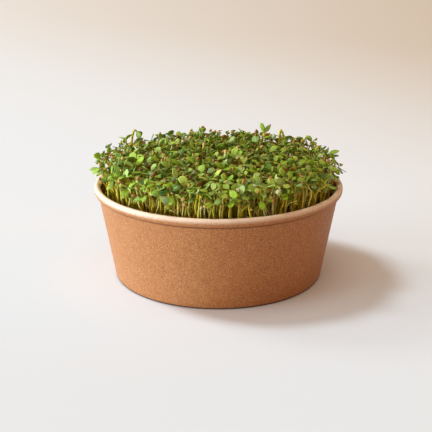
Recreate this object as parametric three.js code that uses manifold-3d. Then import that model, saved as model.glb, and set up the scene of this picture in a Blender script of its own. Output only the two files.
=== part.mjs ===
// Microgreens growing in a round kraft paper bowl.
// Millimetres, +Z up. The origin is the middle of the foot, on the surface that the bowl stands on.
// The camera side of the bowl is -Y, and its left and right are -X and +X.
import * as THREE from 'three';
import { mergeVertices } from 'three/addons/utils/BufferGeometryUtils.js';
import Module from 'manifold-3d';

// Bowl: a 150 x 57 mm paper salad bowl with a 127 mm foot
const RIM_RADIUS = 75;
const BOWL_HEIGHT = 57;
const FOOT_RADIUS = 63.4;
const WALL_TOP_RADIUS = 72.5;
const PAPER = 0.6;
const BEAD_WIDTH = 4;
const BEAD_HEIGHT = 5.2;
const HEM_HEIGHT = 6.4;
const FOLD_ROUND = 0.7;
const FLOOR_HEIGHT = 7;
const TURNS = 40;

// Clear space kept between neighbouring pieces
const GAP = 0.3;

// Growing medium and the plugs of root mat that stand in its holes
const SOIL_TOP = 48.5;
const SOIL_EDGE_DROP = 1.2;
const PLUG_RADIUS = 5;
const PLUG_DEPTH = 9;
const PLUG_SINK = 1.2;
const PLUG_SIDES = 6;

// Field of sprouts, sown evenly and grouped in tufts that share a root mat
const TUFTS = 44;
const SPROUTS_IN_TUFT = 6;
const FIELD_RADIUS = 63.5;
const TUFT_REACH = 9.5;
const OUTWARD_LEAN = 0.12;
const GOLDEN_ANGLE = Math.PI * (3 - Math.sqrt(5));
const SEED = 20260;

// One sprout: a stem with a pair of seed leaves, and a hull on some of them
const STEM_RADIUS = 0.75;
const STEM_TOP_RADIUS = 0.45;
const STEM_SIDES = 3;
const STEM_STEPS = 2;
const ARCH_STEPS = 4;
const STEM_ROOT = 4;
const BLADE = 0.7;
const LEAF_LENGTH = [7, 9.8];
const LEAF_WIDTH = 0.7;
const SHOULDER = 0.54;
const TIP_WIDTH = 0.42;
const WAIST = 2.2;
const HULL_EVERY = 6;
const HULL_RADIUS = 1.1;

// Canopy: heights above the surface that the bowl stands on
const CANOPY_MIDDLE = 70.5;
const CANOPY_FALL = 3;
const CANOPY_SPREAD = 3.8;
const REACH_X = 78.6;
const REACH_Y = 74.8;
const TRIES = 100;

// Sprouts that stand out at the edge of the canopy, by the middle of their leaf pair.
// Turn and rise are in degrees, and an arch is the height that its stem bends over at.
const STANDOUTS = [
  { top: [-52.4, 40, 78.2], turn: 90, rise: 55, length: 6.4, lean: [-56.6, 40], arch: 83.7 },
  { top: [-58.6, 34, 74], turn: 150, rise: 30, length: 7 },
  { top: [-66.7, 14, 69.8], turn: 120, rise: 35, length: 6.6 },
  { top: [-70.2, -6, 65.7], turn: 180, rise: 38, length: 7.6 },
  { top: [-49.1, -45, 64.6], turn: 20, rise: 15, length: 7 },
  { top: [29.5, 45, 75.9], turn: 10, rise: 66, length: 7.4 },
  { top: [42.8, 43, 72.5], turn: 80, rise: 30, length: 6.4, lean: [36.8, 44], arch: 91.9 },
  { top: [48.3, 34, 75], turn: 10, rise: 5, length: 7.2 },
  { top: [59.3, 30, 73.2], turn: 40, rise: 42, length: 6.8 },
  { top: [66.4, 9, 70.8], turn: 15, rise: 40, length: 7.8 },
  { top: [70.1, -4, 66.9], turn: 0, rise: 30, length: 7.4 },
  { top: [42, -49, 65.4], turn: 60, rise: 25, length: 8 },
  { top: [14, -58, 68.4], turn: 15, rise: 28, length: 8.6 },
  { top: [-8.9, -60, 66.9], turn: 170, rise: 22, length: 8 },
];

// A draw from 0 to 1, the same on every run
function seeded(seed) {
  let state = seed;
  return () => {
    state = (state * 1664525 + 1013904223) % 4294967296;
    return state / 4294967296;
  };
}
const random = seeded(SEED);
const between = (low, high) => low + (high - low) * random();

// The wall leans outwards: its outer and inner radius at a height
const WALL_TOP = BOWL_HEIGHT - BEAD_HEIGHT;
const WALL_LEAN = (WALL_TOP_RADIUS - FOOT_RADIUS) / WALL_TOP;
const outerRadius = (z) => FOOT_RADIUS + WALL_LEAN * z;
const innerRadius = (z) => outerRadius(z) - PAPER;
const filledRadius = (z) => innerRadius(z) - GAP;

const wasm = await Module();
wasm.setup();

// A closed geometry as a solid, turned the right way out
function solid(geometry) {
  const bare = geometry.clone();
  bare.deleteAttribute('normal');
  bare.deleteAttribute('uv');
  const merged = mergeVertices(bare, 1e-4);
  const points = merged.attributes.position.array;
  const corners = [];
  let volume = 0;
  const at = (i) => new THREE.Vector3().fromArray(points, 3 * i);
  for (let i = 0; i < merged.index.count; i += 3) {
    const [a, b, c] = [0, 1, 2].map((k) => merged.index.getX(i + k));
    if (a === b || b === c || c === a) continue;
    corners.push([a, b, c]);
    volume += at(a).dot(at(b).cross(at(c)));
  }
  const facing = volume > 0 ? corners : corners.map(([a, b, c]) => [a, c, b]);
  return new wasm.Manifold(new wasm.Mesh({
    numProp: 3,
    vertProperties: Float32Array.from(points),
    triVerts: Uint32Array.from(facing.flat()),
  }));
}

// A solid as a named mesh
function piece(name, body, colour, roughness) {
  const { vertProperties, triVerts } = body.getMesh();
  const geometry = new THREE.BufferGeometry();
  geometry.setAttribute('position', new THREE.Float32BufferAttribute(vertProperties, 3));
  geometry.setIndex(new THREE.Uint32BufferAttribute(triVerts, 1));
  geometry.computeVertexNormals();
  const material = new THREE.MeshStandardMaterial({ color: colour, roughness, metalness: 0 });
  const mesh = new THREE.Mesh(geometry, material);
  mesh.name = name;
  return mesh;
}

// A ring or disc turned round the bowl's axis from [radius, height] points
function turned(profile) {
  const points = profile.map(([r, z]) => new THREE.Vector2(r, z));
  return solid(new THREE.LatheGeometry(points, TURNS).rotateX(Math.PI / 2));
}

// Bowl wall: one sheet of paper, rolled to a bead at the rim and folded in and up at the foot
function bowlWall() {
  const beadRadius = RIM_RADIUS - BEAD_WIDTH / 2;
  const beadMiddle = BOWL_HEIGHT - BEAD_HEIGHT / 2;
  const bead = [-70, -35, 0, 30, 60, 90, 120, 150, 190, 225].map((degrees) => {
    const turn = THREE.MathUtils.degToRad(degrees);
    return [
      beadRadius + (BEAD_WIDTH / 2) * Math.cos(turn),
      beadMiddle + (BEAD_HEIGHT / 2) * Math.sin(turn),
    ];
  });
  const channelOut = (z) => innerRadius(z);
  const channelIn = (z) => channelOut(z) - PAPER - 2 * GAP;
  const hemIn = (z) => channelIn(z) - PAPER;
  return turned([
    [outerRadius(0) - FOLD_ROUND, 0],
    [outerRadius(FOLD_ROUND), FOLD_ROUND],
    [outerRadius(WALL_TOP), WALL_TOP],
    ...bead,
    [innerRadius(WALL_TOP - 2), WALL_TOP - 2],
    [channelOut(FOLD_ROUND), FOLD_ROUND],
    [channelIn(FOLD_ROUND), FOLD_ROUND],
    [channelIn(HEM_HEIGHT), HEM_HEIGHT],
    [hemIn(HEM_HEIGHT), HEM_HEIGHT],
    [hemIn(FOLD_ROUND), FOLD_ROUND],
    [hemIn(0) + FOLD_ROUND, 0],
    [outerRadius(0) - FOLD_ROUND, 0],
  ]);
}

// Bowl base: a paper disc whose turned-down skirt stands in the fold of the wall
function bowlBase() {
  const skirtOut = (z) => innerRadius(z) - GAP;
  const skirtIn = (z) => skirtOut(z) - PAPER;
  const skirtFoot = FOLD_ROUND + GAP;
  const top = FLOOR_HEIGHT + PAPER;
  return turned([
    [0, FLOOR_HEIGHT],
    [skirtIn(FLOOR_HEIGHT), FLOOR_HEIGHT],
    [skirtIn(skirtFoot), skirtFoot],
    [skirtOut(skirtFoot), skirtFoot],
    [skirtOut(top), top],
    [0, top],
  ]);
}

// Tuft places: a sunflower spiral keeps them evenly apart
function tuftPlace(index) {
  const r = FIELD_RADIUS * Math.sqrt((index + 0.5) / TUFTS);
  const turn = index * GOLDEN_ANGLE;
  return new THREE.Vector2(r * Math.cos(turn), r * Math.sin(turn));
}

// An upright prism between two heights, standing at a tuft's place
function plug(place, radius, low, high) {
  const outline = new THREE.Shape(Array.from({ length: PLUG_SIDES }, (_, k) => {
    const turn = (2 * Math.PI * k) / PLUG_SIDES;
    return new THREE.Vector2(place.x + radius * Math.cos(turn), place.y + radius * Math.sin(turn));
  }));
  const prism = new THREE.ExtrudeGeometry(outline, { depth: high - low, bevelEnabled: false });
  return solid(prism.translate(0, 0, low));
}

// Growing medium: fills the bowl, with a plain hole for each tuft
function growingMedium(places) {
  const low = FLOOR_HEIGHT + PAPER + GAP;
  const edge = SOIL_TOP - SOIL_EDGE_DROP;
  const body = turned([
    [0, low],
    [filledRadius(low), low],
    [filledRadius(edge), edge],
    [filledRadius(edge) - 3, SOIL_TOP],
    [0, SOIL_TOP],
  ]);
  const holeFoot = SOIL_TOP - PLUG_DEPTH - GAP;
  return places.reduce(
    (soil, place) => soil.subtract(plug(place, PLUG_RADIUS + GAP, holeFoot, SOIL_TOP + 1)),
    body,
  );
}

// A three-sided stem along its curve, with level sections so that its sides stay flat
function uprightStem(curve) {
  const tube = new THREE.CylinderGeometry(STEM_TOP_RADIUS, STEM_RADIUS, 1, STEM_SIDES, STEM_STEPS);
  const position = tube.attributes.position;
  for (let i = 0; i < position.count; i += 1) {
    const middle = curve.getPoint(position.getY(i) + 0.5);
    position.setXYZ(i, middle.x + position.getX(i), middle.y + position.getZ(i), middle.z);
  }
  return solid(tube);
}

// A three-sided stem that bends over, with sections square to its curve
function archedStem(curve) {
  const section = new THREE.Shape(Array.from({ length: STEM_SIDES }, (_, k) => {
    const turn = (2 * Math.PI * k) / STEM_SIDES;
    return new THREE.Vector2(STEM_RADIUS * Math.cos(turn), STEM_RADIUS * Math.sin(turn));
  }));
  const options = { steps: ARCH_STEPS, extrudePath: curve, bevelEnabled: false };
  return solid(new THREE.ExtrudeGeometry(section, options));
}

// Directions of a leaf pair: along the leaves, across them, and up from them as the stem ends
function pairAxes({ curve, turn }) {
  const up = curve.getTangent(1);
  const level = new THREE.Vector3(-Math.sin(turn), Math.cos(turn), 0);
  const along = new THREE.Vector3().crossVectors(level, up).normalize();
  return { along, across: new THREE.Vector3().crossVectors(up, along), up };
}

// Height of a leaf over its pair's plane, at a share of its length: it rises, then levels out
function leafRise(sprout, share) {
  return sprout.length * (Math.sin(sprout.rise) * share - sprout.droop * share * share);
}

// A pair of seed leaves: one strip, narrow at its waist and folded up to both sides
function leafPair(sprout) {
  const strip = new THREE.BoxGeometry(4, 2, 1, 4, 1, 1);
  const { along, across, up } = pairAxes(sprout);
  const shares = [0, SHOULDER, 1];
  const halfWidths = [WAIST / 2, 0.5, TIP_WIDTH / 2].map(
    (w, k) => (k === 0 ? w : w * LEAF_WIDTH * sprout.length),
  );
  const position = strip.attributes.position;
  for (let i = 0; i < position.count; i += 1) {
    const side = Math.sign(position.getX(i));
    const station = Math.round(Math.abs(position.getX(i)));
    const share = shares[station];
    const slope = Math.atan2(
      leafRise(sprout, share + 0.01) - leafRise(sprout, share - 0.01),
      0.02 * sprout.length * Math.cos(sprout.rise),
    );
    const half = (position.getY(i) * BLADE) / 2;
    const run = side * (sprout.length * Math.cos(sprout.rise) * share - half * Math.sin(slope));
    const lift = leafRise(sprout, share) + half * (station ? Math.cos(slope) : 1 / Math.cos(slope));
    const point = sprout.top.clone()
      .addScaledVector(along, run)
      .addScaledVector(across, 2 * position.getZ(i) * halfWidths[station])
      .addScaledVector(up, lift);
    position.setXYZ(i, point.x, point.y, point.z);
  }
  return solid(strip);
}

// Empty seed hull caught on a leaf tip
function hull(sprout) {
  const { along, up } = pairAxes(sprout);
  const place = sprout.top.clone()
    .addScaledVector(along, 0.93 * sprout.length * Math.cos(sprout.rise))
    .addScaledVector(up, leafRise(sprout, 0.93));
  const seed = new THREE.OctahedronGeometry(HULL_RADIUS).scale(1, 0.75, 0.8);
  return solid(seed.translate(place.x, place.y, place.z));
}

// Spheres that cover a sprout with room round it, to keep it clear of the others
function coverOf(sprout) {
  const cover = [];
  const { along, across, up } = pairAxes(sprout);
  const stemSpheres = 18;
  for (let k = 0; k <= stemSpheres; k += 1) {
    const share = k / stemSpheres;
    cover.push({ centre: sprout.curve.getPoint(share), radius: share < 0.15 ? 0.85 : 1.2 });
  }
  for (const side of [-1, 1]) {
    for (const share of [0.2, 0.43, 0.66, 0.9]) {
      for (const lane of [-0.3, 0, 0.3]) {
        const centre = sprout.top.clone()
          .addScaledVector(along, side * sprout.length * Math.cos(sprout.rise) * share)
          .addScaledVector(across, lane * LEAF_WIDTH * sprout.length)
          .addScaledVector(up, leafRise(sprout, share));
        cover.push({ centre, radius: 1.4 });
      }
    }
  }
  return cover;
}

// True where a sprout's cover misses the bowl, the box and every sprout that stands already
function isClear(cover, top, standing) {
  const inside = cover.every(({ centre, radius }) => {
    const reach = Math.hypot(centre.x, centre.y) + radius;
    const overRim = centre.z - radius > BOWL_HEIGHT + GAP;
    return Math.abs(centre.x) + radius < REACH_X
      && Math.abs(centre.y) + radius < REACH_Y
      && (overRim || reach < RIM_RADIUS - BEAD_WIDTH - GAP);
  });
  return inside && standing.every((other) => {
    if (other.top.distanceTo(top) > 40) return true;
    return other.cover.every((a) => cover.every(
      (b) => a.centre.distanceTo(b.centre) > a.radius + b.radius,
    ));
  });
}

// One try at a sprout of a tuft, drawn by chance
function drawSprout(place, index) {
  const side = (2 * Math.PI * (index + random())) / SPROUTS_IN_TUFT;
  const rootReach = PLUG_RADIUS * between(0.25, 0.52);
  const root = new THREE.Vector3(
    place.x + rootReach * Math.cos(side),
    place.y + rootReach * Math.sin(side),
    SOIL_TOP - STEM_ROOT,
  );
  const reach = TUFT_REACH * Math.sqrt(between(0.1, 1));
  const outward = 1 + (OUTWARD_LEAN * place.length()) / FIELD_RADIUS;
  const topX = place.x * outward + reach * Math.cos(side + between(-0.6, 0.6));
  const topY = place.y * outward + reach * Math.sin(side + between(-0.6, 0.6));
  const distance = Math.hypot(topX, topY) / FIELD_RADIUS;
  const level = CANOPY_MIDDLE - CANOPY_FALL * distance * distance;
  const top = new THREE.Vector3(topX, topY, level + CANOPY_SPREAD * between(-1, 1));
  const bend = new THREE.Vector3(
    root.x + 0.22 * (top.x - root.x) + between(-1.5, 1.5),
    root.y + 0.22 * (top.y - root.y) + between(-1.5, 1.5),
    root.z + 0.62 * (top.z - root.z),
  );
  return {
    top,
    curve: new THREE.QuadraticBezierCurve3(root, bend, top),
    arched: false,
    length: between(...LEAF_LENGTH),
    turn: between(0, 2 * Math.PI),
    rise: between(-0.05, 0.8),
    droop: between(0, 0.25),
  };
}

// A sprout of the list, rooted in the nearest tuft on the side that it leans to
function standout({ top, turn, rise, length, lean, arch }, place) {
  const leaves = new THREE.Vector3(...top);
  const out = new THREE.Vector2(leaves.x - place.x, leaves.y - place.y).setLength(0.5 * PLUG_RADIUS);
  const root = new THREE.Vector3(place.x + out.x, place.y + out.y, SOIL_TOP - STEM_ROOT);
  const bend = root.clone().lerp(leaves, 0.35).setZ(root.z + 0.7 * (leaves.z - root.z));
  if (arch) bend.set(...lean, arch);
  return {
    top: leaves,
    curve: new THREE.QuadraticBezierCurve3(root, bend, leaves),
    arched: Boolean(arch),
    length,
    turn: THREE.MathUtils.degToRad(turn),
    rise: THREE.MathUtils.degToRad(rise),
    droop: 0.1,
  };
}

const places = Array.from({ length: TUFTS }, (_, index) => tuftPlace(index));
const standing = [];
const tufts = places.map(() => []);

function plant(sprout, tuft) {
  const cover = coverOf(sprout);
  if (!isClear(cover, sprout.top, standing)) return false;
  standing.push({ top: sprout.top, cover });
  tufts[tuft].push(sprout);
  return true;
}

STANDOUTS.forEach((entry) => {
  const distances = places.map((place) => Math.hypot(entry.top[0] - place.x, entry.top[1] - place.y));
  const tuft = distances.indexOf(Math.min(...distances));
  if (!plant(standout(entry, places[tuft]), tuft)) throw new Error(`no room at ${entry.top}`);
});
for (let index = 0; index < SPROUTS_IN_TUFT; index += 1) {
  for (let tuft = TUFTS - 1; tuft >= 0; tuft -= 1) {
    let tries = TRIES;
    while (tries > 0 && !plant(drawSprout(places[tuft], index), tuft)) tries -= 1;
  }
}

// The largest piece of a joined body, without loose scraps and with sealed hollows filled
function largest(body) {
  return body.decompose().reduce((best, part) => (part.volume() > best.volume() ? part : best));
}

// A tuft: its root mat, its stems, leaves and hulls, all grown together
function tuftBody(place, sprouts, tuft) {
  const low = SOIL_TOP - PLUG_DEPTH;
  const mat = plug(place, PLUG_RADIUS, low, SOIL_TOP - PLUG_SINK);
  const grown = sprouts.reduce((body, sprout, index) => {
    const stem = sprout.arched ? archedStem(sprout.curve) : uprightStem(sprout.curve);
    const taller = body.add(stem).add(leafPair(sprout));
    const carriesHull = (tuft + index * TUFTS) % HULL_EVERY === 0;
    return carriesHull ? taller.add(hull(sprout)) : taller;
  }, mat);
  return largest(grown);
}

const group = new THREE.Group();
group.add(piece('bowl_wall', bowlWall(), '#b9824f', 0.85));
group.add(piece('bowl_base', bowlBase(), '#ad7846', 0.85));
group.add(piece('growing_medium', growingMedium(places), '#2a1c14', 0.95));
tufts.forEach((sprouts, index) => {
  const name = `sprout_tuft_${String(index + 1).padStart(2, '0')}`;
  const green = new THREE.Color('#5e8a34').offsetHSL(0.02 * Math.sin(index * 2.1), 0, 0);
  group.add(piece(name, tuftBody(places[index], sprouts, index), green, 0.6));
});

export default group;
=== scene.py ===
import math

import bpy
import numpy as np
from mathutils import Matrix, Vector


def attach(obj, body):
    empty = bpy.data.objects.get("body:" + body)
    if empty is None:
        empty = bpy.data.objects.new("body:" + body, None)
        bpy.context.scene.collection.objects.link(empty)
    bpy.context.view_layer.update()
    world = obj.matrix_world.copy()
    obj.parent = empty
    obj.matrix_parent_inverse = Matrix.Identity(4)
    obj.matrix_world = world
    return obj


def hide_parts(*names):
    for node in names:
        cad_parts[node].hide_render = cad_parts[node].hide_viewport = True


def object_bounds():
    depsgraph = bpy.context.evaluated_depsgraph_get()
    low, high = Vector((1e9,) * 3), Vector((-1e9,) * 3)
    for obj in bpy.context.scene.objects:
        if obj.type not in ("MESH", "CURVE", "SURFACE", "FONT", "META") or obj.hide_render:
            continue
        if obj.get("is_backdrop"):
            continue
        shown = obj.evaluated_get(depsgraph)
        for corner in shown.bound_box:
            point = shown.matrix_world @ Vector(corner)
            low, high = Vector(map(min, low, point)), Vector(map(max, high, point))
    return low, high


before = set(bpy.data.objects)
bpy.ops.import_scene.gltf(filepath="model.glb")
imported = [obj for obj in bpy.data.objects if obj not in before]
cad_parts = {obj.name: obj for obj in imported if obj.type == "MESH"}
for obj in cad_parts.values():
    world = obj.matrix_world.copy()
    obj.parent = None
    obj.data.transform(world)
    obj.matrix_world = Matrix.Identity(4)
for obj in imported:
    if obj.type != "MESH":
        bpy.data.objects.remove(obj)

cad_box = [list(corner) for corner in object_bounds()]


# Camera. It stands in front of the bowl, a little above it, where the photograph was taken,
# and its lens is the long one that such product pictures are made with.
MM = 0.001
CAMERA_DISTANCE = 542.3 * MM
CAMERA_HEIGHT = 216.2 * MM
CAMERA_SIDE = -1.4 * MM
CAMERA_PITCH = 18.55
LENS = 77.57

bpy.ops.object.select_all(action="DESELECT")
bpy.ops.object.camera_add(
    location=(CAMERA_SIDE, -CAMERA_DISTANCE, CAMERA_HEIGHT),
    rotation=(math.radians(90 - CAMERA_PITCH), 0, 0),
)
camera = bpy.context.object
camera.data.lens = LENS
camera.data.sensor_width = 36
camera.data.clip_start = 0.01
bpy.context.scene.camera = camera
bpy.context.scene.view_settings.view_transform = "Standard"


# Bowl wall. One sheet of kraft board, wound to a cone with its ends lapped and glued at the back.
# Its top edge is rolled outwards to a bead, and its foot is folded in and up round the base.
RIM_RADIUS = 75 * MM
BOWL_HEIGHT = 57 * MM
FOOT_RADIUS = 63.4 * MM
WALL_TOP_RADIUS = 72.5 * MM
PAPER = 0.6 * MM
BEAD_WIDTH = 4 * MM
BEAD_HEIGHT = 5.2 * MM
HEM_HEIGHT = 6.4 * MM
FOLD_ROUND = 0.7 * MM
GAP = 0.3 * MM
WALL_TOP = BOWL_HEIGHT - BEAD_HEIGHT
WALL_TURNS = 192
WALL_RINGS = 14
LAP_WIDTH = 7 * MM
LAP_STEP = 0.25 * MM
LAP_SLOPE = 1.2 * MM
MIDDLE_RADIUS = 68 * MM
LAP_EDGE = 210.1 * MM
OUT_OF_ROUND = 0.12 * MM


def outer_radius(z):
    return FOOT_RADIUS + (WALL_TOP_RADIUS - FOOT_RADIUS) * z / WALL_TOP


def inner_radius(z):
    return outer_radius(z) - PAPER


def arc(centre, half_width, half_height, start, end, steps):
    """Points of an oval arc as (radius, height), from one angle to another in degrees."""
    turns = [math.radians(start + (end - start) * k / steps) for k in range(steps + 1)]
    r, z = centre
    return [(r + half_width * math.cos(a), z + half_height * math.sin(a)) for a in turns]


def begin(add, **settings):
    """Adds a primitive with nothing else selected, opens it in edit mode and gives it back."""
    bpy.ops.object.select_all(action="DESELECT")
    add(**settings)
    bpy.ops.object.mode_set(mode="EDIT")
    return bpy.context.object


def turn_on_axis(name, profile, turns):
    """A ring, or a disc where the profile ends on the axis, drawn out ring by ring from a circle."""
    stations = [(max(r, 1e-6), z) for r, z in profile]
    r, z = stations[0]
    piece = begin(bpy.ops.mesh.primitive_circle_add, vertices=turns, radius=r, location=(0, 0, z))
    piece.name = name
    for next_r, next_z in stations[1:]:
        bpy.ops.mesh.extrude_region_move(TRANSFORM_OT_translate={"value": (0, 0, next_z - z)})
        scale = next_r / r
        bpy.ops.transform.resize(value=(scale, scale, 1), center_override=(0, 0, next_z))
        r, z = next_r, next_z
    bpy.ops.mesh.select_all(action="SELECT")
    bpy.ops.mesh.remove_doubles(threshold=1e-5)
    bpy.ops.mesh.normals_make_consistent(inside=False)
    bpy.ops.object.mode_set(mode="OBJECT")
    bpy.ops.object.transform_apply(location=True, rotation=True, scale=True)
    return piece


def smooth(piece, degrees=40):
    """Shades a piece smoothly, apart from its edges."""
    bpy.ops.object.select_all(action="DESELECT")
    piece.select_set(True)
    bpy.context.view_layer.objects.active = piece
    bpy.ops.object.shade_smooth_by_angle(angle=math.radians(degrees))


class Wire:
    """What comes out of a node. Arithmetic on it adds Math nodes."""

    def __init__(self, finish, socket):
        self.finish, self.socket = finish, socket

    def maths(self, operation, *values):
        return self.finish.node("ShaderNodeMath", {"operation": operation}, dict(enumerate(values)))

    def __add__(self, other):
        return self.maths("ADD", self, other)

    def __sub__(self, other):
        return self.maths("SUBTRACT", self, other)

    def __rsub__(self, other):
        return self.maths("SUBTRACT", other, self)

    def __mul__(self, other):
        return self.maths("MULTIPLY", self, other)

    __radd__ = __add__
    __rmul__ = __mul__

    def band(self, low, high):
        """0 below low, 1 above high, and smooth between them."""
        return self.finish.node(
            "ShaderNodeMapRange",
            {"interpolation_type": "SMOOTHSTEP"},
            {"Value": self, "From Min": low, "From Max": high},
        )


class Finish:
    """A material whose nodes are written as Python."""

    def __init__(self, name, roughness, **constants):
        self.material = bpy.data.materials.new(name)
        self.material.use_nodes = True
        self.tree = self.material.node_tree
        self.shader = self.tree.nodes["Principled BSDF"]
        self.shader.inputs["Roughness"].default_value = roughness
        for socket, value in constants.items():
            self.shader.inputs[socket.replace("_", " ")].default_value = value

    def node(self, kind, settings, sockets, output=0):
        made = self.tree.nodes.new(kind)
        for key, value in settings.items():
            setattr(made, key, value)
        for key, value in sockets.items():
            self.join(value, made.inputs[key])
        return Wire(self, made.outputs[output])

    def join(self, value, socket):
        if isinstance(value, Wire):
            self.tree.links.new(value.socket, socket)
        elif isinstance(value, tuple) and len(value) == 3 and socket.type == "RGBA":
            socket.default_value = (*value, 1)
        else:
            socket.default_value = value

    def place(self):
        return self.node("ShaderNodeTexCoord", {}, {}, "Object")

    def axes(self, place):
        """The x, y and z of a place."""
        split = self.node("ShaderNodeSeparateXYZ", {}, {0: place}).socket.node
        return [Wire(self, output) for output in split.outputs]

    def attribute(self, name):
        return self.node("ShaderNodeAttribute", {"attribute_name": name}, {}, "Fac")

    def noise(self, place, scale, detail=3, roughness=0.5, distortion=0):
        return self.node("ShaderNodeTexNoise", {}, {
            "Vector": place, "Scale": scale, "Detail": detail,
            "Roughness": roughness, "Distortion": distortion,
        })

    def mix(self, share, low, high):
        """A colour between two, by a share from 0 to 1."""
        settings = {"data_type": "RGBA", "clamp_factor": True}
        return self.node("ShaderNodeMix", settings, {0: share, 6: low, 7: high}, 2)

    def feed(self, colour, roughness, height=None, depth=0.0, strength=1.0):
        """Joins what varies to the surface and gives the material back."""
        self.join(colour, self.shader.inputs["Base Color"])
        self.join(roughness, self.shader.inputs["Roughness"])
        if height is not None:
            sockets = {"Height": height, "Distance": depth, "Strength": strength}
            self.join(self.node("ShaderNodeBump", {}, sockets), self.shader.inputs["Normal"])
        return self.material


KRAFT_DARK = (0.250, 0.066, 0.013)
KRAFT_MID = (0.445, 0.143, 0.032)
KRAFT_LIGHT = (0.680, 0.305, 0.112)


def kraft_board():
    finish = Finish("kraft_board", 0.5, Specular_IOR_Level=0.26, Sheen_Weight=0.02)
    place = finish.place()
    x, y, z = finish.axes(place)
    round_wall = x.maths("ARCTAN2", x, 0 - y) * MIDDLE_RADIUS
    unrolled = finish.node("ShaderNodeCombineXYZ", {}, {0: round_wall, 1: z, 2: y * 0.02})
    upright = finish.node("ShaderNodeMapping", {}, {0: unrolled, 3: (1, 0.22, 1)})
    level = finish.node("ShaderNodeMapping", {}, {0: unrolled, 2: (0, 0, 0.5), 3: (0.24, 1, 1)})
    cloud = finish.noise(place, 55, 2)
    mottle = finish.noise(place, 1500, 3, 0.62)
    fibre_up = finish.noise(upright, 1500, 2, 0.5, 0.6).band(0.58, 0.72)
    fibre_level = finish.noise(level, 1700, 2, 0.5, 0.6).band(0.60, 0.74)
    fleck = finish.noise(place, 1900, 1).band(0.66, 0.74)
    colour = finish.mix(mottle.band(0.27, 0.75), KRAFT_DARK, KRAFT_LIGHT)
    colour = finish.mix(0.25 * cloud.band(0.25, 0.75) + 0.20, colour, KRAFT_MID)
    patch = finish.noise(place, 260, 3, 0.65).band(0.46, 0.72)
    colour = finish.mix(0.24 * patch, colour, (0.250, 0.074, 0.014))
    colour = finish.mix(0.26 * fibre_up, colour, (0.66, 0.34, 0.14))
    colour = finish.mix(0.38 * fibre_level, colour, (0.18, 0.060, 0.016))
    colour = finish.mix(0.45 * fleck, colour, (0.10, 0.040, 0.012))
    # Painted highlight: the top of the rolled bead is painted pale cream where light catches it, and it
    # is made a little less rough there.
    painted_bead_highlight = z.band(WALL_TOP + 0.36 * BEAD_HEIGHT, WALL_TOP + 0.95 * BEAD_HEIGHT)
    highlight_cream = finish.mix(mottle.band(0.30, 0.72), (0.95, 0.61, 0.39), (1.0, 0.78, 0.57))
    colour = finish.mix(0.96 * painted_bead_highlight, colour, highlight_cream)
    # Painted shade: a dark brown band where the bead curls under onto the wall stands in for the shadow
    # in that crevice.
    crevice_shade = z.band(WALL_TOP - 1.1 * MM, WALL_TOP - 0.5 * MM)
    crevice_shade = crevice_shade - z.band(WALL_TOP + 0.3 * MM, WALL_TOP + 1.5 * MM)
    colour = finish.mix(0.75 * crevice_shade, colour, (0.150, 0.038, 0.007))
    # Painted shade: the lowest millimetre of the foot is painted near black for the shadow under the
    # fold where it meets the table.
    colour = finish.mix(0.95 - z.band(0.5 * MM, 1.4 * MM), colour, (0.050, 0.013, 0.003))
    lap_edge = round_wall.band(LAP_EDGE - 0.4 * MM, LAP_EDGE)
    lap_edge = lap_edge - round_wall.band(LAP_EDGE, LAP_EDGE + 0.4 * MM)
    colour = finish.mix(0.6 * lap_edge, colour, (0.10, 0.034, 0.010))
    height = mottle * 0.6 + fibre_up * 0.5 + fibre_level * 0.3
    return finish.feed(colour, 0.46 + 0.16 * mottle - 0.06 * painted_bead_highlight, height, 0.00008, 0.4)


bead_middle = (RIM_RADIUS - BEAD_WIDTH / 2, BOWL_HEIGHT - BEAD_HEIGHT / 2)
outside = [(outer_radius(z), z) for z in np.linspace(FOLD_ROUND, WALL_TOP, WALL_RINGS)]
inside = [(inner_radius(z), z) for z in np.linspace(WALL_TOP - 2 * MM, FOLD_ROUND, WALL_RINGS)]
fold = inner_radius(FOLD_ROUND) - PAPER - 2 * GAP
hem = inner_radius(HEM_HEIGHT) - PAPER - 2 * GAP
wall_profile = [
    *arc((FOOT_RADIUS - FOLD_ROUND, FOLD_ROUND), FOLD_ROUND, FOLD_ROUND, -90, -15, 4),
    *outside,
    *arc(bead_middle, BEAD_WIDTH / 2, BEAD_HEIGHT / 2, -84, 228, 24),
    *inside,
    (fold, FOLD_ROUND),
    (hem, HEM_HEIGHT),
    (hem - PAPER, HEM_HEIGHT),
    (fold - PAPER, FOLD_ROUND),
    *arc((fold - PAPER + FOLD_ROUND, FOLD_ROUND), FOLD_ROUND, FOLD_ROUND, 200, 270, 3),
    (FOOT_RADIUS - FOLD_ROUND, 0),
]
kraft_wall = turn_on_axis("kraft_wall", wall_profile, WALL_TURNS)

for vertex in kraft_wall.data.vertices:
    x, y, z = vertex.co
    r = math.hypot(x, y)
    along_lap = math.atan2(x, y) * r
    if FOLD_ROUND < z < WALL_TOP and r > inner_radius(z) + PAPER / 2:
        step = min(1, max(0, (abs(along_lap) - LAP_WIDTH / 2) / LAP_SLOPE))
        r += LAP_STEP * (1 - step)
    wobble = OUT_OF_ROUND * math.sin(3 * math.atan2(y, x) + 0.7) * z / BOWL_HEIGHT
    swell = (r + wobble) / math.hypot(x, y)
    vertex.co = (x * swell, y * swell, z)

smooth(kraft_wall)
kraft = kraft_board()
kraft_wall.data.materials.append(kraft)
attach(kraft_wall, "root")
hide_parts("bowl_wall")


# Bowl base. A disc of the same board with its skirt turned down into the fold of the wall,
# so that the floor of the bowl stands clear of the table.
FLOOR_HEIGHT = 7 * MM

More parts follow.
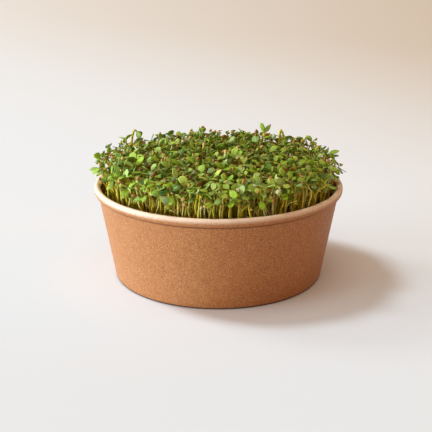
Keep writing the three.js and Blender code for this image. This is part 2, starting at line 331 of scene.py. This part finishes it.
skirt_foot = FOLD_ROUND + GAP
base_top = FLOOR_HEIGHT + PAPER
kraft_base = turn_on_axis("kraft_base", [
    (0, FLOOR_HEIGHT),
    (30 * MM, FLOOR_HEIGHT - 0.3 * MM),
    (inner_radius(FLOOR_HEIGHT) - GAP - PAPER - 2 * MM, FLOOR_HEIGHT),
    (inner_radius(FLOOR_HEIGHT) - GAP - PAPER, FLOOR_HEIGHT - 0.5 * MM),
    (inner_radius(skirt_foot) - GAP - PAPER, skirt_foot),
    (inner_radius(skirt_foot) - GAP, skirt_foot),
    (inner_radius(base_top) - GAP, base_top - 0.4 * MM),
    (inner_radius(base_top) - GAP - 1 * MM, base_top),
    (30 * MM, base_top - 0.3 * MM),
    (0, base_top),
], 96)
smooth(kraft_base)
kraft_base.data.materials.append(kraft)
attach(kraft_base, "root")
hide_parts("bowl_base")


# Growing medium. Moist dark coir and compost, poured in to just under the rim. Its top is crumbly,
# with loose crumbs on it, and it draws back a little from the wall.
SOIL_TOP = 48.5 * MM
SOIL_EDGE_DROP = 1.2 * MM
SOIL_RINGS = 34
SOIL_TURNS = 180
CRUMBS = 620


def seeded(seed):
    """A draw from 0 to 1, the same on every run."""
    state = seed

    def draw():
        nonlocal state
        state = (state * 1664525 + 1013904223) % 4294967296
        return state / 4294967296

    return draw


def dark_crumb():
    finish = Finish("moist_coir", 0.85, Specular_IOR_Level=0.35)
    place = finish.place()
    grain = finish.noise(place, 900, 3, 0.6)
    patch = finish.noise(place, 180, 2)
    fibre = finish.noise(place, 2600, 1, 0.5, 1.5).band(0.62, 0.75)
    colour = finish.mix(grain.band(0.35, 0.75), (0.006, 0.004, 0.003), (0.040, 0.024, 0.014))
    colour = finish.mix(0.5 * patch.band(0.45, 0.7), colour, (0.060, 0.032, 0.016))
    colour = finish.mix(0.45 * fibre, colour, (0.16, 0.085, 0.04))
    return finish.feed(colour, 0.70 + 0.25 * grain, grain + 0.4 * patch, 0.0006, 0.8)


soil_low = base_top + GAP
soil_edge = SOIL_TOP - SOIL_EDGE_DROP
rings = [(inner_radius(soil_edge) - GAP - 1.2 * MM) * (1 - k / SOIL_RINGS) for k in range(SOIL_RINGS)]
soil = turn_on_axis("coir_fill", [
    (0, soil_low),
    (inner_radius(soil_low) - GAP, soil_low),
    (inner_radius(soil_edge) - GAP, soil_edge),
    *[(r, SOIL_TOP) for r in rings],
    (0, SOIL_TOP),
], SOIL_TURNS)
crumbly = bpy.data.textures.new("crumbly", type="CLOUDS")
crumbly.noise_scale = 0.0035
crumbly.noise_depth = 3
top_group = soil.vertex_groups.new(name="top")
top_group.add([v.index for v in soil.data.vertices if v.co.z > SOIL_TOP - 0.1 * MM], 1, "REPLACE")
bpy.context.view_layer.objects.active = soil
relief = soil.modifiers.new("relief", "DISPLACE")
relief.texture = crumbly
relief.texture_coords = "LOCAL"
relief.direction = "Z"
relief.mid_level = 0.6
relief.strength = 3.2 * MM
relief.vertex_group = "top"
bpy.ops.object.modifier_apply(modifier="relief")
smooth(soil, 60)

draw = seeded(61)
bpy.ops.object.select_all(action="DESELECT")
bpy.ops.mesh.primitive_ico_sphere_add(subdivisions=2, radius=1)
crumb_pattern = bpy.context.object
for vertex in crumb_pattern.data.vertices:
    vertex.co *= 0.72 + 0.42 * draw()


def copy_of(pattern, matrix):
    """A copy with a mesh of its own, whose place is in its mesh."""
    copy = pattern.copy()
    copy.data = pattern.data.copy()
    copy.data.transform(matrix)
    bpy.context.scene.collection.objects.link(copy)
    return copy


def joined(name, parts):
    """Joins like parts to one piece."""
    bpy.ops.object.select_all(action="DESELECT")
    for part in parts:
        part.select_set(True)
    bpy.context.view_layer.objects.active = parts[0]
    bpy.ops.object.join()
    parts[0].name = name
    return parts[0]


crumbs = []
for _ in range(CRUMBS):
    r = (inner_radius(soil_edge) - 2.2 * MM) * math.sqrt(draw())
    turn = 2 * math.pi * draw()
    size = (0.5 + 1.0 * draw() ** 2) * MM
    spot = Vector((r * math.cos(turn), r * math.sin(turn), SOIL_TOP - 0.1 * MM + 0.2 * size))
    spin = Matrix.Rotation(6.3 * draw(), 4, "Z") @ Matrix.Rotation(3.1 * draw(), 4, "X")
    shape = Matrix.Diagonal((size * (0.8 + 0.7 * draw()), size, size * 0.7, 1))
    crumbs.append(copy_of(crumb_pattern, Matrix.Translation(spot) @ spin @ shape))
bpy.data.objects.remove(crumb_pattern)
soil_crumbs = joined("coir_crumbs", crumbs)

coir = dark_crumb()
for piece in (soil, soil_crumbs):
    piece.data.materials.clear()
    piece.data.materials.append(coir)
    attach(piece, "root")
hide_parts("growing_medium")


# Sprouts. They stand in tufts on one root mat, and each has a stem, two seed leaves and now and
# then its hull. Between the tall ones stand finer ones, and pale late ones come up by the soil.
# Lengths in this section are millimetres, and become metres when a piece takes its shape.
PLUG_RADIUS = 5
TUFTS = 44
SPROUTS_IN_TUFT = 6
FIELD_RADIUS = 63.5
TUFT_REACH = 9.5
OUTWARD_LEAN = 0.12
GOLDEN_ANGLE = math.pi * (3 - math.sqrt(5))
SEED = 20260
STEM_ROOT = 4
LEAF_LENGTH = (7, 9.8)
LEAF_WIDTH = 0.7
HULL_EVERY = 6
CANOPY_MIDDLE = 70.5
CANOPY_FALL = 3
CANOPY_SPREAD = 3.8
REACH_X = 78.6
REACH_Y = 74.8
TRIES = 100
FINER_SPROUTS = 1150
FINER_FIELD = 67.5
FINER_REACH = 70
LATE_SPROUTS = 220
LATE_FIELD = 67
TALL_ONES = [
    {
        "top": (-52.4, 40, 78.2), "turn": 90, "rise": 55, "length": 6.4,
        "bend": (-56.6, 40, 83.7), "tint": 0.2,
    },
    {"top": (-58.6, 34, 74), "turn": 150, "rise": 30, "length": 7},
    {"top": (-66.7, 14, 69.8), "turn": 120, "rise": 35, "length": 6.6},
    {"top": (-70.2, -6, 65.7), "turn": 180, "rise": 38, "length": 7.6},
    {"top": (-49.1, -45, 64.6), "turn": 20, "rise": 15, "length": 7},
    {"top": (29.5, 45, 75.9), "turn": 10, "rise": 66, "length": 7.4, "roll": 1.2},
    {"top": (42.8, 43, 72.5), "turn": 80, "rise": 30, "length": 6.4, "bend": (36.8, 44, 91.9)},
    {"top": (48.3, 34, 75), "turn": 10, "rise": 5, "length": 7.2, "tint": 0.05},
    {"top": (59.3, 30, 73.2), "turn": 40, "rise": 42, "length": 6.8},
    {"top": (66.4, 9, 70.8), "turn": 15, "rise": 40, "length": 7.8, "tint": 0.35},
    {"top": (70.1, -4, 66.9), "turn": 0, "rise": 30, "length": 7.4, "tint": 0.0},
    {"top": (42, -49, 65.4), "turn": 60, "rise": 25, "length": 8},
    {"top": (14, -58, 68.4), "turn": 15, "rise": 28, "length": 8.6},
    {"top": (-8.9, -60, 66.9), "turn": 170, "rise": 22, "length": 8},
]

soil_top = SOIL_TOP / MM
random = seeded(SEED)


def between(low, high):
    return low + (high - low) * random()


def on_curve(curve, shares):
    """Points of a stem's curve, which is a quadratic one through a bend."""
    t = np.asarray(shares, float)[:, None]
    root, bend, top = curve
    return (1 - t) ** 2 * root + 2 * (1 - t) * t * bend + t ** 2 * top


def pair_axes(sprout):
    """Directions along the leaf pair, across it and up from it, as the stem ends."""
    before, end = on_curve(sprout["curve"], [1 - 0.0001, 1])
    up = (end - before) / np.linalg.norm(end - before)
    level = np.array([-math.sin(sprout["turn"]), math.cos(sprout["turn"]), 0])
    along = np.cross(level, up)
    along /= np.linalg.norm(along)
    return along, np.cross(up, along), up


def leaf_spine(sprout, side, shares):
    """Points of a leaf's middle line: it rises from the stem, then levels out."""
    along, _, up = pair_axes(sprout)
    share = np.asarray(shares, float)[:, None]
    run = side * math.cos(sprout["rise"]) * share
    lift = math.sin(sprout["rise"]) * share - sprout["droop"] * share ** 2
    return sprout["top"] + sprout["length"] * (along * run + up * lift)


def cover_of(sprout):
    """Centres and radii of balls that keep the others clear of a sprout."""
    shares = np.arange(19) / 18
    centres = [on_curve(sprout["curve"], shares)]
    _, across, _ = pair_axes(sprout)
    for side in (-1, 1):
        spine = leaf_spine(sprout, side, (0.2, 0.43, 0.66, 0.9))
        for lane in (-0.3, 0, 0.3):
            centres.append(spine + across * lane * LEAF_WIDTH * sprout["length"])
    radii = np.where(shares < 0.15, 0.85, 1.2)
    return np.vstack(centres), np.concatenate([radii, np.full(24, 1.4)])


def is_clear(sprout, standing):
    """Whether a sprout's cover misses the bowl, the object's box and all that stands already."""
    centres, radii = sprout["cover"]
    reach = np.hypot(centres[:, 0], centres[:, 1]) + radii
    over_rim = centres[:, 2] - radii > BOWL_HEIGHT / MM + GAP / MM
    within = reach < (RIM_RADIUS - BEAD_WIDTH - GAP) / MM
    boxed = (abs(centres[:, 0]) + radii < REACH_X) & (abs(centres[:, 1]) + radii < REACH_Y)
    if not (boxed & (over_rim | within)).all():
        return False
    low, high = centres.min(axis=0) - 3, centres.max(axis=0) + 3
    near = ((standing["centres"] > low) & (standing["centres"] < high)).all(axis=1)
    near[near] = np.linalg.norm(standing["tops"][near] - sprout["top"], axis=1) <= 40
    apart = centres[:, None, :] - standing["centres"][near][None, :, :]
    rooms = radii[:, None] + standing["radii"][near][None, :]
    return bool(((apart ** 2).sum(axis=2) > rooms ** 2).all())


def draw_sprout(place, index):
    """One try at a sprout of a tuft, by the same rule and draws as the tufts that it replaces."""
    side = 2 * math.pi * (index + random()) / SPROUTS_IN_TUFT
    root_reach = PLUG_RADIUS * between(0.25, 0.52)
    root = np.array([
        place[0] + root_reach * math.cos(side),
        place[1] + root_reach * math.sin(side),
        soil_top - STEM_ROOT,
    ])
    reach = TUFT_REACH * math.sqrt(between(0.1, 1))
    outward = 1 + OUTWARD_LEAN * math.hypot(*place) / FIELD_RADIUS
    top_x = place[0] * outward + reach * math.cos(side + between(-0.6, 0.6))
    top_y = place[1] * outward + reach * math.sin(side + between(-0.6, 0.6))
    distance = math.hypot(top_x, top_y) / FIELD_RADIUS
    level = CANOPY_MIDDLE - CANOPY_FALL * distance * distance
    top = np.array([top_x, top_y, level + CANOPY_SPREAD * between(-1, 1)])
    bend = np.array([
        root[0] + 0.22 * (top[0] - root[0]) + between(-1.5, 1.5),
        root[1] + 0.22 * (top[1] - root[1]) + between(-1.5, 1.5),
        root[2] + 0.62 * (top[2] - root[2]),
    ])
    sprout = {"top": top, "curve": (root, bend, top)}
    sprout["length"] = between(*LEAF_LENGTH)
    sprout["turn"] = between(0, 2 * math.pi)
    sprout["rise"] = between(-0.05, 0.8)
    sprout["droop"] = between(0, 0.25)
    return sprout


def tall_one(entry, place):
    """A sprout of the list, rooted on the side of its tuft that it leans to."""
    top = np.array(entry["top"], float)
    out = (top[:2] - place) / np.linalg.norm(top[:2] - place) * 0.5 * PLUG_RADIUS
    root = np.array([*(place + out), soil_top - STEM_ROOT])
    bend = root + 0.35 * (top - root)
    bend[2] = root[2] + 0.7 * (top[2] - root[2])
    if "bend" in entry:
        bend = np.array(entry["bend"], float)
    sprout = {"top": top, "curve": (root, bend, top), "length": entry["length"], "droop": 0.1}
    sprout["turn"] = math.radians(entry["turn"])
    sprout["rise"] = math.radians(entry["rise"])
    sprout["roll"] = entry.get("roll", 0)
    sprout["tint"] = entry.get("tint", 0.5)
    return sprout


def tuft_place(index):
    r = FIELD_RADIUS * math.sqrt((index + 0.5) / TUFTS)
    return np.array([r * math.cos(index * GOLDEN_ANGLE), r * math.sin(index * GOLDEN_ANGLE)])


places = [tuft_place(index) for index in range(TUFTS)]
tufts = [[] for _ in places]
standing = {"centres": np.empty((0, 3)), "radii": np.empty(0), "tops": np.empty((0, 3))}


def plant(sprout, tuft):
    """Puts a sprout in its tuft where there is room for it."""
    sprout["cover"] = centres, radii = cover_of(sprout)
    if not is_clear(sprout, standing):
        return False
    standing["centres"] = np.vstack([standing["centres"], centres])
    standing["radii"] = np.concatenate([standing["radii"], radii])
    standing["tops"] = np.vstack([standing["tops"], np.tile(sprout["top"], (len(radii), 1))])
    tufts[tuft].append(sprout)
    return True


def nearest_tuft(point):
    return min(range(TUFTS), key=lambda k: np.linalg.norm(places[k] - point[:2]))


for entry in TALL_ONES:
    tuft = nearest_tuft(np.array(entry["top"]))
    plant(tall_one(entry, places[tuft]), tuft)
for index in range(SPROUTS_IN_TUFT):
    for tuft in reversed(range(TUFTS)):
        tries = TRIES
        while tries > 0 and not plant(draw_sprout(places[tuft], index), tuft):
            tries -= 1

# Finer sprouts, sown evenly between the others and closer towards the rim
finer = []
for index in range(FINER_SPROUTS):
    r = FINER_FIELD * ((index + 0.5) / FINER_SPROUTS) ** 0.43
    turn = index * GOLDEN_ANGLE
    root = np.array([r * math.cos(turn), r * math.sin(turn), soil_top - 2.5])
    root[:2] += [between(-1.5, 1.5), between(-1.5, 1.5)]
    side = between(0, 2 * math.pi)
    lean = 11 * between(0, 1) ** 1.6 + 4 * max(0, r / FINER_FIELD - 0.7)
    outward = turn if r > 45 and random() < 0.6 else side
    level = CANOPY_MIDDLE - CANOPY_FALL * (r / FIELD_RADIUS) ** 2
    top = root + np.array([lean * math.cos(outward), lean * math.sin(outward), 0])
    reach = math.hypot(top[0], top[1])
    top[:2] *= min(1, (FINER_REACH - 5.5 * max(0, -top[1] / reach) ** 2) / reach)
    top[2] = level + 3 - 10 * between(0, 1) ** 1.9
    bend = root + 0.15 * (top - root) + np.array([between(-3.2, 3.2), between(-3.2, 3.2), 0])
    bend[2] = root[2] + between(0.5, 0.8) * (top[2] - root[2])
    sprout = {"top": top, "curve": (root, bend, top), "length": between(3.2, 6.8)}
    sprout.update(turn=between(0, 2 * math.pi), rise=between(-0.1, 1.0), droop=between(0, 0.35))
    finer.append(sprout)
# Late sprouts, low down, with leaves that are hardly open
for index in range(LATE_SPROUTS):
    r = LATE_FIELD * math.sqrt(between(0.2, 1))
    turn = between(0, 2 * math.pi)
    root = np.array([r * math.cos(turn), r * math.sin(turn), soil_top - 1.5])
    side = between(0, 2 * math.pi)
    top = root + np.array([5 * math.cos(side), 5 * math.sin(side), between(4, 16)])
    bend = root + np.array([between(-5, 5), between(-5, 5), between(5, 14)])
    sprout = {"top": top, "curve": (root, bend, top), "length": between(2, 3.4), "late": True}
    sprout.update(turn=between(0, 2 * math.pi), rise=between(0.2, 1.3), droop=between(0, 0.3))
    finer.append(sprout)
for sprout in finer:
    tuft = nearest_tuft(sprout["curve"][0])
    tufts[tuft].append(sprout)

# Widths of the two kinds of leaf, at these shares of its length
LEAF_SHARES = (0, 0.05, 0.14, 0.28, 0.46, 0.66, 0.84, 0.95, 1)
OVAL_WIDTHS = (0.10, 0.15, 0.24, 0.70, 0.98, 1.0, 0.80, 0.48, 0.12)
ROUND_WIDTHS = (0.10, 0.13, 0.42, 0.88, 1.0, 0.98, 0.76, 0.42, 0.10)


def set_values(mesh, **values):
    """Gives every vertex of a mesh a number under each name."""
    for name, numbers in values.items():
        layer = mesh.attributes.get(name) or mesh.attributes.new(name, "FLOAT", "POINT")
        numbers = np.broadcast_to(np.asarray(numbers, float), len(mesh.vertices))
        layer.data.foreach_set("value", numbers.astype(np.float32))


def points_of(piece):
    flat = np.empty(3 * len(piece.data.vertices), np.float32)
    piece.data.vertices.foreach_get("co", flat)
    return flat.reshape(-1, 3).astype(float)


def reshaped(pattern, points, **values):
    """A copy with a mesh of its own, its points moved to new places and its numbers set."""
    copy = pattern.copy()
    copy.data = pattern.data.copy()
    copy.data.vertices.foreach_set("co", np.ascontiguousarray(points, np.float32).ravel())
    set_values(copy.data, **values)
    bpy.context.scene.collection.objects.link(copy)
    return copy


def leaf_pattern(name, widths, finish):
    """A leaf one long and one wide, lens-shaped in section, hollowed along its midrib."""
    leaf = begin(bpy.ops.mesh.primitive_uv_sphere_add, segments=8, ring_count=8, radius=1)
    bpy.ops.object.mode_set(mode="OBJECT")
    leaf.name = name
    across, share, under = [], [], []
    for vertex in leaf.data.vertices:
        ring = round(8 * math.acos(max(-1, min(1, vertex.co.z))) / math.pi)
        turn = math.atan2(vertex.co.y, vertex.co.x)
        reach = math.hypot(vertex.co.x, vertex.co.y) > 0.01
        x = math.cos(turn) if reach else 0
        thick = math.sin(turn) if reach else 0
        stalk = 0.5 if ring < 2 else 0
        rib = -0.35 if abs(x) < 0.01 and thick > 0 and 1 < ring < 8 else 0
        vertex.co = (x * widths[ring] / 2, LEAF_SHARES[ring], thick * (1 + stalk) + rib)
        across.append(x)
        share.append(LEAF_SHARES[ring])
        under.append(1.0 if thick < -0.01 else 0.0)
    set_values(leaf.data, across=across, share=share, under=under, tint=0, shade=0)
    leaf.data.materials.append(finish)
    bpy.ops.object.select_all(action="DESELECT")
    leaf.select_set(True)
    bpy.ops.object.shade_smooth()
    return leaf


def stem_pattern(name, steps, finish):
    """A stem one high, five-sided, drawn up step by step."""
    stem = begin(bpy.ops.mesh.primitive_circle_add, vertices=5, radius=1, fill_type="NGON")
    for _ in range(steps):
        bpy.ops.mesh.extrude_region_move(TRANSFORM_OT_translate={"value": (0, 0, 1 / steps)})
    bpy.ops.mesh.select_all(action="SELECT")
    bpy.ops.mesh.normals_make_consistent(inside=False)
    bpy.ops.object.mode_set(mode="OBJECT")
    stem.name = name
    share = [vertex.co.z for vertex in stem.data.vertices]
    set_values(stem.data, across=0, share=share, under=0, tint=0, shade=0)
    stem.data.materials.append(finish)
    bpy.ops.object.select_all(action="DESELECT")
    stem.select_set(True)
    bpy.ops.object.shade_smooth()
    return stem


def hull_pattern(name, finish):
    """A seed hull one long, blunt at one end, pinched at the other and split along one side."""
    seed = begin(bpy.ops.mesh.primitive_uv_sphere_add, segments=8, ring_count=6, radius=0.5)
    bpy.ops.object.mode_set(mode="OBJECT")
    seed.name = name
    for vertex in seed.data.vertices:
        pinch = 1 - 0.35 * (vertex.co.z + 0.5) ** 2
        split = 0.72 if vertex.co.x > 0.25 * math.hypot(vertex.co.x, vertex.co.y) + 0.1 else 1
        vertex.co = (vertex.co.x * 0.8 * pinch * split, vertex.co.y * 0.66 * pinch, vertex.co.z)
    share = [vertex.co.z + 0.5 for vertex in seed.data.vertices]
    set_values(seed.data, across=0, share=share, under=0, tint=0, shade=0)
    seed.data.materials.append(finish)
    bpy.ops.object.select_all(action="DESELECT")
    seed.select_set(True)
    bpy.ops.object.shade_smooth()
    return seed


def leaf_skin():
    finish = Finish(
        "leaf_skin", 0.46, Subsurface_Weight=0.16, Subsurface_Radius=(0.8, 1.0, 0.15),
        Subsurface_Scale=0.0012, Specular_IOR_Level=0.27,
    )
    place = finish.place()
    across, share = finish.attribute("across"), finish.attribute("share")
    tint, shade = finish.attribute("tint"), finish.attribute("shade")
    out = across.maths("ABSOLUTE", across)
    blotch = finish.noise(place, 420, 2)
    rib = 1 - out.band(0.02, 0.14)
    side_vein = across.maths("SINE", 34 * share - 9 * out).band(0.72, 1.0) * out.band(0.05, 0.2)
    colour = finish.mix(tint.band(0.0, 0.5), (0.028, 0.086, 0.005), (0.300, 0.445, 0.006))
    colour = finish.mix(tint.band(0.45, 1.0), colour, (0.520, 0.590, 0.085))
    colour = finish.mix(0.60 * shade.band(0.66, 1.0), colour, (0.410, 0.520, 0.230))
    colour = finish.mix(0.70 * (1 - shade.band(0.0, 0.27)), colour, (0.015, 0.054, 0.018))
    colour = finish.mix(0.35 * blotch.band(0.35, 0.75), colour, (0.360, 0.470, 0.014))
    colour = finish.mix(0.25 * out.band(0.72, 1.0), colour, (0.060, 0.120, 0.010))
    colour = finish.mix(0.38 * rib + 0.18 * side_vein, colour, (0.50, 0.60, 0.14))
    colour = finish.mix(0.40 * finish.attribute("under"), colour, (0.40, 0.48, 0.08))
    stalk = 1 - share.band(0.02, 0.16)
    colour = finish.mix(0.8 * stalk, colour, (0.46, 0.44, 0.04))
    height = blotch * 0.3 - rib * 0.6 - side_vein * 0.3
    return finish.feed(colour, 0.36 + 0.2 * blotch, height, 0.00015, 0.6)


def stem_skin():
    finish = Finish(
        "stem_skin", 0.38, Subsurface_Weight=0.25, Subsurface_Radius=(0.8, 1.0, 0.3),
        Subsurface_Scale=0.001, Specular_IOR_Level=0.22,
    )
    place = finish.place()
    share, tint = finish.attribute("share"), finish.attribute("tint")
    shade = finish.attribute("shade")
    streak = finish.noise(finish.node("ShaderNodeMapping", {}, {0: place, 3: (1, 1, 0.1)}), 1400, 2)
    colour = finish.mix(share.band(0.1, 0.9), (0.80, 0.59, 0.060), (0.580, 0.480, 0.010))
    colour = finish.mix(tint.band(0.55, 1.0), colour, (0.80, 0.68, 0.22))
    colour = finish.mix(0.7 * shade.band(0.72, 0.92) * share.band(0.2, 0.8), colour, (0.44, 0.20, 0.06))
    colour = finish.mix(0.35 * streak.band(0.4, 0.7), colour, (0.40, 0.37, 0.03))
    return finish.feed(colour, 0.34 + 0.15 * streak, streak, 0.00008, 0.5)


def hull_skin():
    finish = Finish("hull_skin", 0.55, Specular_IOR_Level=0.4)
    place = finish.place()
    tint, share = finish.attribute("tint"), finish.attribute("share")
    grain = finish.noise(place, 2400, 2)
    colour = finish.mix(tint.band(0.1, 0.45), (0.26, 0.085, 0.010), (0.48, 0.205, 0.026))
    colour = finish.mix(tint.band(0.4, 0.75), colour, (0.70, 0.42, 0.090))
    colour = finish.mix(tint.band(0.93, 0.96), colour, (0.78, 0.68, 0.40))
    colour = finish.mix(0.45 * share.band(0.7, 1.0), colour, (0.20, 0.07, 0.03))
    colour = finish.mix(0.4 * grain.band(0.45, 0.7), colour, (0.27, 0.11, 0.02))
    return finish.feed(colour, 0.45 + 0.25 * grain, grain, 0.0001, 0.6)


leaf_green, stem_green, hull_tan = leaf_skin(), stem_skin(), hull_skin()
oval_leaf = leaf_pattern("oval_leaf", OVAL_WIDTHS, leaf_green)
round_leaf = leaf_pattern("round_leaf", ROUND_WIDTHS, leaf_green)
stem = stem_pattern("stem", 7, stem_green)
seed_hull = hull_pattern("seed_hull", hull_tan)


def grow_stem(sprout, radius, tint, shade):
    """The stem pattern drawn out along a sprout's curve, tapered and swaying a little."""
    points = points_of(stem)
    middle = on_curve(sprout["curve"], points[:, 2])
    after = on_curve(sprout["curve"], points[:, 2] + 0.01)
    ahead = after - on_curve(sprout["curve"], points[:, 2] - 0.01)
    ahead /= np.linalg.norm(ahead, axis=1)[:, None]
    aside = np.cross(ahead, (0.0, 1.0, 0.12))
    aside /= np.linalg.norm(aside, axis=1)[:, None]
    taper = radius * (1.12 - 0.34 * points[:, 2])[:, None]
    ring = aside * points[:, :1] + np.cross(aside, ahead) * points[:, 1:2]
    sway = np.sin(points[:, 2:] * math.pi * between(1, 2.6)) * np.sin(points[:, 2:] * math.pi)
    most = 0.5 if "cover" in sprout else 1.4
    middle = middle + most * sway * np.array([[between(-1, 1), between(-1, 1), 0]])
    return reshaped(stem, (middle + taper * ring) * MM, tint=tint, shade=shade)


def grow_leaf(sprout, side, length, width, tint, shade):
    """One leaf of a sprout's pair, bent along its middle line, cupped and twisted."""
    pattern = round_leaf if sprout.get("round") else oval_leaf
    points = points_of(pattern)
    grown = dict(sprout, length=length, rise=sprout["rise"] + between(-0.12, 0.12))
    _, across, up = pair_axes(grown)
    spine = leaf_spine(grown, side, points[:, 1])
    ahead = leaf_spine(grown, side, points[:, 1] + 0.02) - leaf_spine(grown, side, points[:, 1] - 0.02)
    normal = side * np.cross(ahead, across)
    normal /= np.linalg.norm(normal, axis=1)[:, None]
    normal *= np.sign(normal @ up)[:, None]
    cup = between(-0.3, 1.1)
    twist = between(-0.3, 0.3) * points[:, 1] + side * sprout.get("roll", 0)
    x = points[:, 0] * width * 2
    sideways = x * np.cos(twist)
    lift = cup * 0.25 * x ** 2 / width + x * np.sin(twist) + 0.2 * points[:, 2]
    return reshaped(
        pattern, (spine + across * sideways[:, None] + normal * lift[:, None]) * MM,
        tint=tint, shade=shade,
    )


def grow_hull(spot, size, tint):
    """A seed hull caught at a spot, turned any way."""
    spin = Matrix.Rotation(between(0, 6.3), 3, "Z") @ Matrix.Rotation(between(0, 3.1), 3, "X")
    points = points_of(seed_hull) @ np.array(spin).T * size + spot
    return reshaped(seed_hull, points * MM, tint=tint, shade=0)


for tuft, sprouts in enumerate(tufts):
    parts = []
    for index, sprout in enumerate(sprouts):
        late, tall, main = sprout.get("late"), "roll" in sprout, "cover" in sprout
        # Leaves on the window's side are painted a deeper green, as painted shade that holds back the
        # window's light on them
        lit_side_shade = max(0, -sprout["top"][0] / 70 - 0.2)
        tint = 0.97 if late else between(0.06, 0.99) - 0.32 * lit_side_shade
        tint = sprout.get("tint", tint)
        length = sprout["length"] * (1 if tall else 0.82 if main else 1)
        width = length * between(0.26, 0.35) * (0.65 if sprout.get("roll") else 1)
        sprout["round"] = random() < 0.15
        thickness = between(0.34, 0.62) * (0.7 if late else 1) * (1.5 if tall else 1)
        parts.append(grow_stem(sprout, thickness, max(tint, 0.96 if late else 0), random()))
        for side in (-1, 1):
            shade = random()
            longer = between(0.88, 1.08)
            own_tint = tint + between(-0.15, 0.15)
            parts.append(grow_leaf(sprout, side, length * longer, width, own_tint, shade))
        carries_hull = (tuft + index * TUFTS) % HULL_EVERY == 0 if main else random() < 0.72
        if carries_hull and not late:
            tip = leaf_spine(dict(sprout, length=length), 1, [0.93])[0]
            parts.append(grow_hull(tip, 1.6 + 1.9 * between(0, 1) ** 2, random()))
        if random() < 0.6:
            caught = on_curve(sprout["curve"], [between(0.7, 1.0)])[0]
            caught += np.array([0.6, -0.4, 0])
            parts.append(grow_hull(caught, 1.5 + 1.9 * between(0, 1) ** 2, random()))
    tuft_piece = joined(f"sprouts_{tuft + 1:02d}", parts)
    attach(tuft_piece, "root")
    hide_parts(f"sprout_tuft_{tuft + 1:02d}")
for pattern in (oval_leaf, round_leaf, stem, seed_hull):
    bpy.data.objects.remove(pattern)


# Floor. A pale plain paper sweep that the bowl stands on. Light and its falloff are painted into
# its colour: darker in front of the bowl and lighter behind it, warmer and darker far off, most on
# the right, and a cooler patch beside the sunlit wall that cancels the warm light the wall throws on
# it.
def sweep_paper():
    finish = Finish("sweep_paper", 0.9, Specular_IOR_Level=0.1)
    place = finish.place()
    x, y, _ = finish.axes(place)
    side = x.maths("DIVIDE", x, y.maths("MAXIMUM", 0.24 * y + 0.15, 0.1))
    # Painted light falloff: darker in front of the bowl, lighter behind it, and warmer and darker far
    # off, most on the right.
    falloff_colour = finish.mix(0.5 + 0.5 * side, (0.95, 0.885, 0.815), (0.745, 0.61, 0.475))
    colour = finish.mix(y.band(-0.18, 0.10), (0.885, 0.885, 0.885), (0.95, 0.95, 0.95))
    colour = finish.mix((y + 0.25 * side).band(0.05, 1.25), colour, falloff_colour)
    # Painted light: a cooler patch beside the sunlit wall, cancelling the warm light that the wall
    # throws on the floor.
    beside = (x + 0.09) * (x + 0.09) + (y + 0.02) * (y + 0.02)
    colour = finish.mix(0.42 * (1 - beside.band(0.0, 0.013)), colour, (0.84, 0.93, 0.975))
    tooth = finish.noise(place, 300, 2)
    colour = finish.mix(0.06 * tooth, colour, (0.80, 0.79, 0.78))
    return finish.feed(colour, 0.88 + 0.06 * tooth)


bpy.ops.object.select_all(action="DESELECT")
bpy.ops.mesh.primitive_plane_add(size=20, location=(0, 0, 0))
floor = bpy.context.object
floor.name = "sweep"
bpy.ops.object.transform_apply(location=True, rotation=True, scale=True)
floor.data.materials.append(sweep_paper())
floor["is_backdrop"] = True


# Light. Soft cool light comes from the left, a little behind the bowl, from a high and a low part
# of one window. A little comes from above, and warm light from all round fills the shadows.
def lamp(name, kind, energy, colour, spot, **settings):
    bpy.ops.object.light_add(type=kind, location=spot)
    light = bpy.context.object
    light.name = name
    light.data.energy = energy
    light.data.color = colour
    for key, value in settings.items():
        setattr(light.data, key, value)
    direction = Vector((0, 0, 0.04)) - Vector(spot)
    light.rotation_euler = direction.to_track_quat("-Z", "Y").to_euler()
    return light


bpy.ops.object.select_all(action="DESELECT")
lamp("key", "SUN", 1.40, (0.69, 0.85, 0.97), (-1.0, 0.36, 1.75), angle=math.radians(12))
lamp("low", "SUN", 0.60, (0.80, 0.93, 1.0), (-1.0, 0.55, 0.85), angle=math.radians(16))
lamp("above", "SUN", 0.45, (1.0, 0.97, 0.91), (0, -0.2, 1.0), angle=math.radians(46))
lamp(
    "window", "AREA", 144, (0.59, 0.80, 1.0), (-2.7, -0.6, 0.21),
    shape="RECTANGLE", size=2.1, size_y=0.30,
)
world = bpy.data.worlds.new("surround")
bpy.context.scene.world = world
world.use_nodes = True
surround = world.node_tree.nodes["Background"]
surround.inputs["Color"].default_value = (1.0, 0.69, 0.46, 1)
surround.inputs["Strength"].default_value = 0.375

size = {"cad": cad_box, "object": [list(corner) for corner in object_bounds()]}
